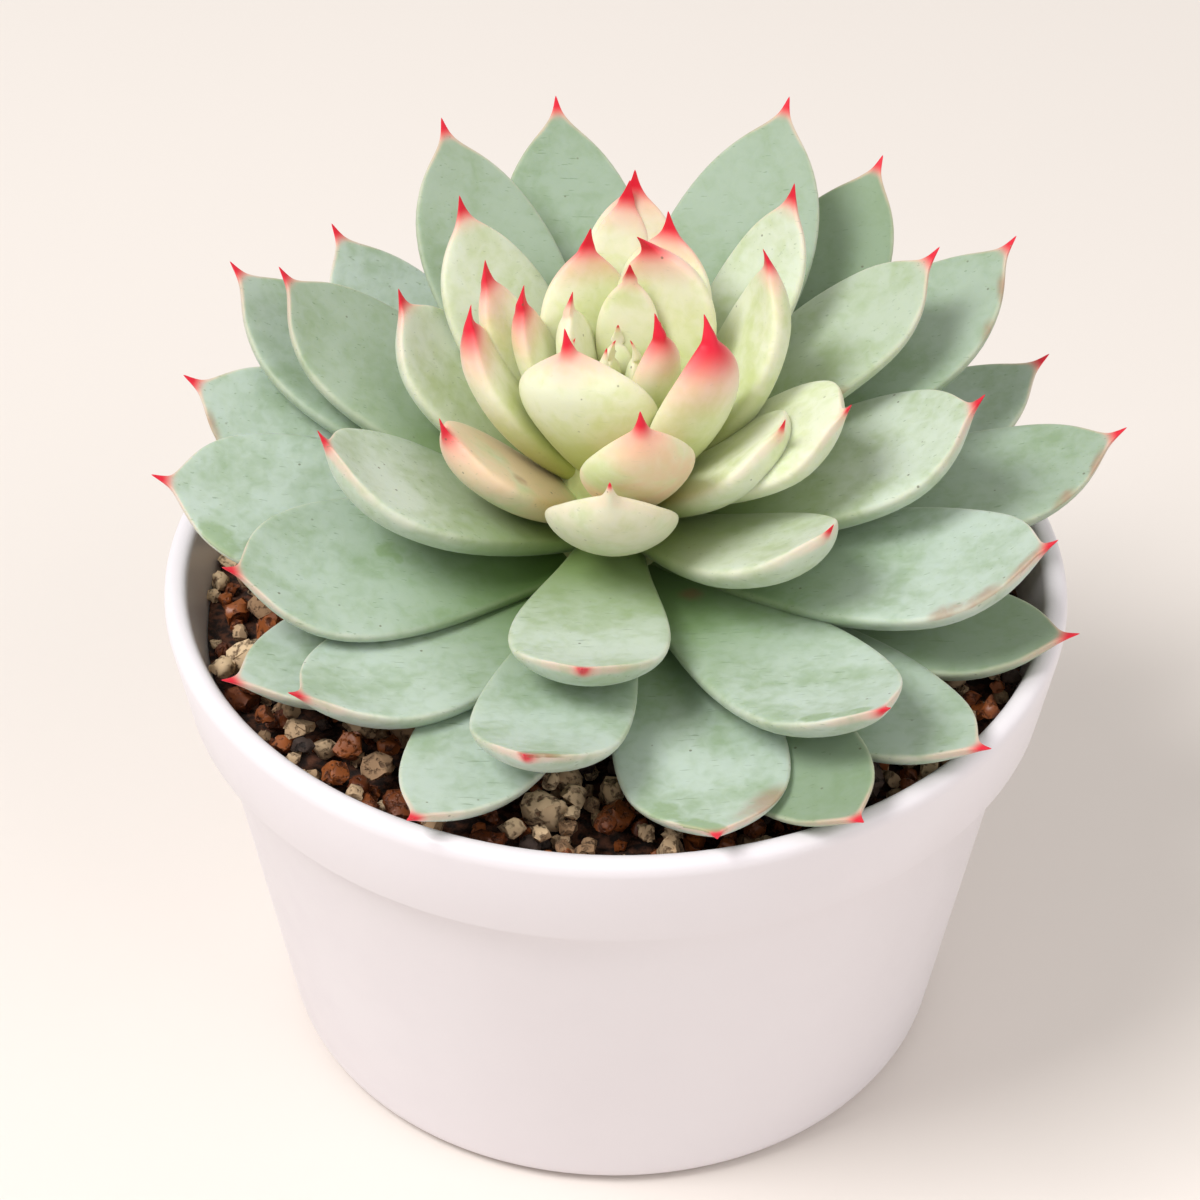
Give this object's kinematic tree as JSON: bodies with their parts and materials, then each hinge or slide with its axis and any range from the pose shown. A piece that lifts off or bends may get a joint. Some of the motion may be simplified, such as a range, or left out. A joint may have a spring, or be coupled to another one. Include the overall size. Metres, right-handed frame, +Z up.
{
  "type": "potted succulent",
  "caption": "Rosette succulent with thick pointed sage green leaves ending in red tips, growing in gritty soil in a round white plastic nursery pot with a rolled rim",
  "frame": {"origin": "middle of the pot's flat base, on the surface that it stands on", "axes": "+Z up along the pot's axis, -Y towards the viewer of the picture, +X to the right"},
  "size_m": [0.1173, 0.1105, 0.1097],
  "materials": {
    "pot_white": "smooth moulded white plastic with a slight sheen",
    "grit": "loose dry grit, cream pumice and red clay grains",
    "stem_skin": "smooth fleshy plant stem, pale yellow green",
    "leaf": "smooth fleshy leaf with a powdery pale bloom and a red tip"
  },
  "bodies": {
    "root": {"pot": "pot_white", "soil": "grit", "stem": "stem_skin", "leaf_01": "leaf", "leaf_02": "leaf", "leaf_03": "leaf", "leaf_04": "leaf", "leaf_05": "leaf", "leaf_06": "leaf", "leaf_07": "leaf", "leaf_08": "leaf", "leaf_09": "leaf", "leaf_10": "leaf", "leaf_11": "leaf", "leaf_12": "leaf", "leaf_13": "leaf", "leaf_14": "leaf", "leaf_15": "leaf", "leaf_16": "leaf", "leaf_17": "leaf", "leaf_18": "leaf", "leaf_19": "leaf", "leaf_20": "leaf", "leaf_21": "leaf", "leaf_22": "leaf", "leaf_23": "leaf", "leaf_24": "leaf", "leaf_25": "leaf", "leaf_26": "leaf", "leaf_27": "leaf", "leaf_28": "leaf", "leaf_29": "leaf", "leaf_30": "leaf", "leaf_31": "leaf", "leaf_32": "leaf", "leaf_33": "leaf", "leaf_34": "leaf", "leaf_35": "leaf", "leaf_36": "leaf", "leaf_37": "leaf", "leaf_38": "leaf", "leaf_39": "leaf", "leaf_40": "leaf", "leaf_41": "leaf", "leaf_42": "leaf", "leaf_43": "leaf", "leaf_44": "leaf", "leaf_45": "leaf", "leaf_46": "leaf", "leaf_47": "leaf", "leaf_48": "leaf", "leaf_49": "leaf", "leaf_50": "leaf", "leaf_51": "leaf", "leaf_52": "leaf", "leaf_53": "leaf", "leaf_54": "leaf", "leaf_55": "leaf"}
  },
  "joints": []
}
